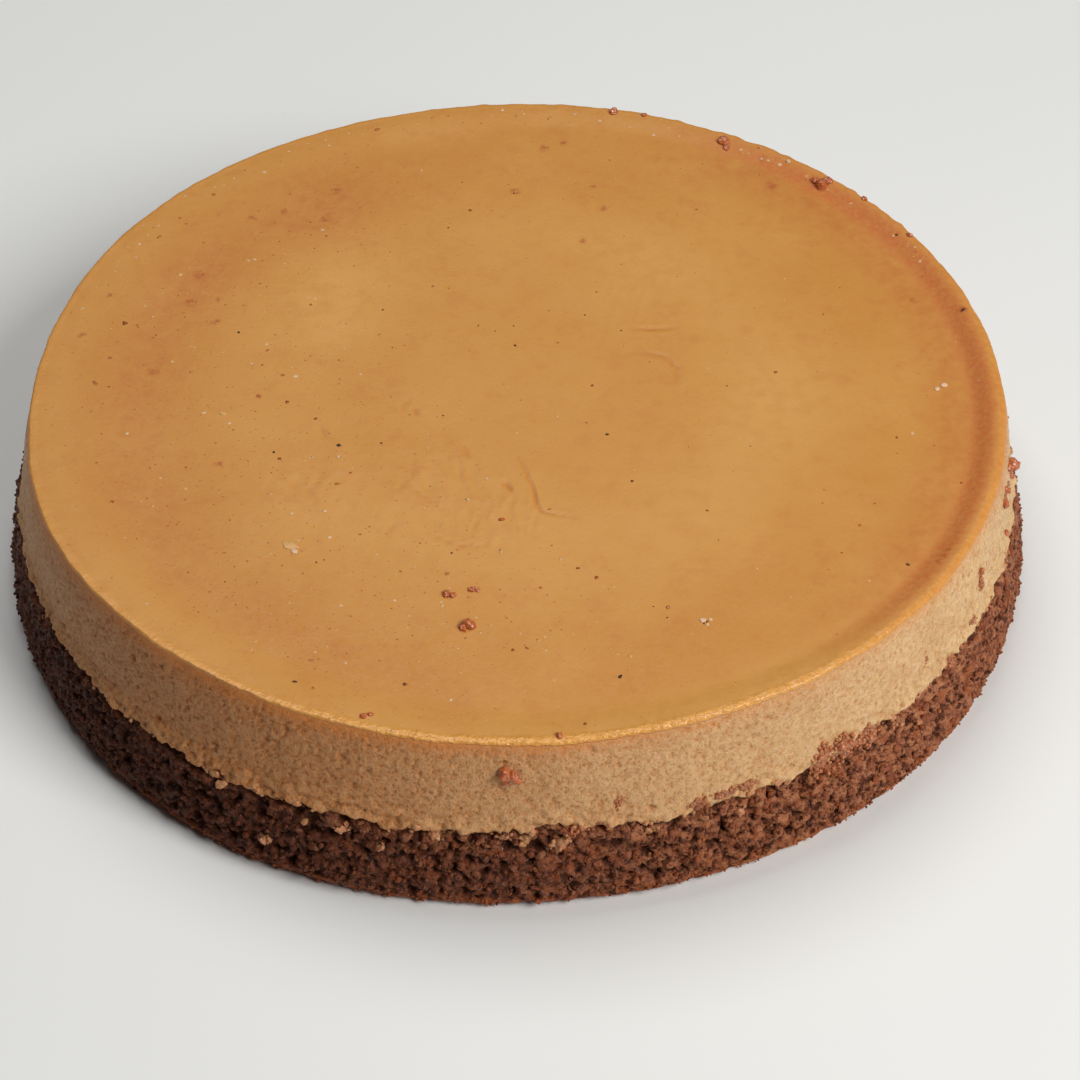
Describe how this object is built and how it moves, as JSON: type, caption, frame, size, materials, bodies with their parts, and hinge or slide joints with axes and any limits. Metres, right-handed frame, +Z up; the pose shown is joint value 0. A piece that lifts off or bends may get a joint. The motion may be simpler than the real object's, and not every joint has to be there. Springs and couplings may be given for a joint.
{
  "type": "chocoflan cake",
  "caption": "Whole round chocoflan: a baked caramel custard with a dished top and raised rim, set on a dark chocolate sponge.",
  "frame": {"origin": "middle of the flat underside, on the surface the cake stands on", "axes": "+Z up through the middle of the cake; +X to the right and +Y away from the viewer who faces the front"},
  "size_m": [0.2304, 0.2297, 0.0426],
  "materials": {
    "chocolate_sponge": "moist dark chocolate crumb, rough and pitted",
    "flan_custard": "tan baked custard with fine pores",
    "caramel_top": "smooth caramel-soaked custard with a wet satin skin",
    "chocolate_crumb": "loose reddish chocolate crumbs",
    "dark_speck": "fine black and brown specks",
    "pale_speck": "pale bubbles and curds of custard"
  },
  "bodies": {
    "root": {"sponge_base": "chocolate_sponge", "flan_layer": "flan_custard"}
  },
  "joints": []
}
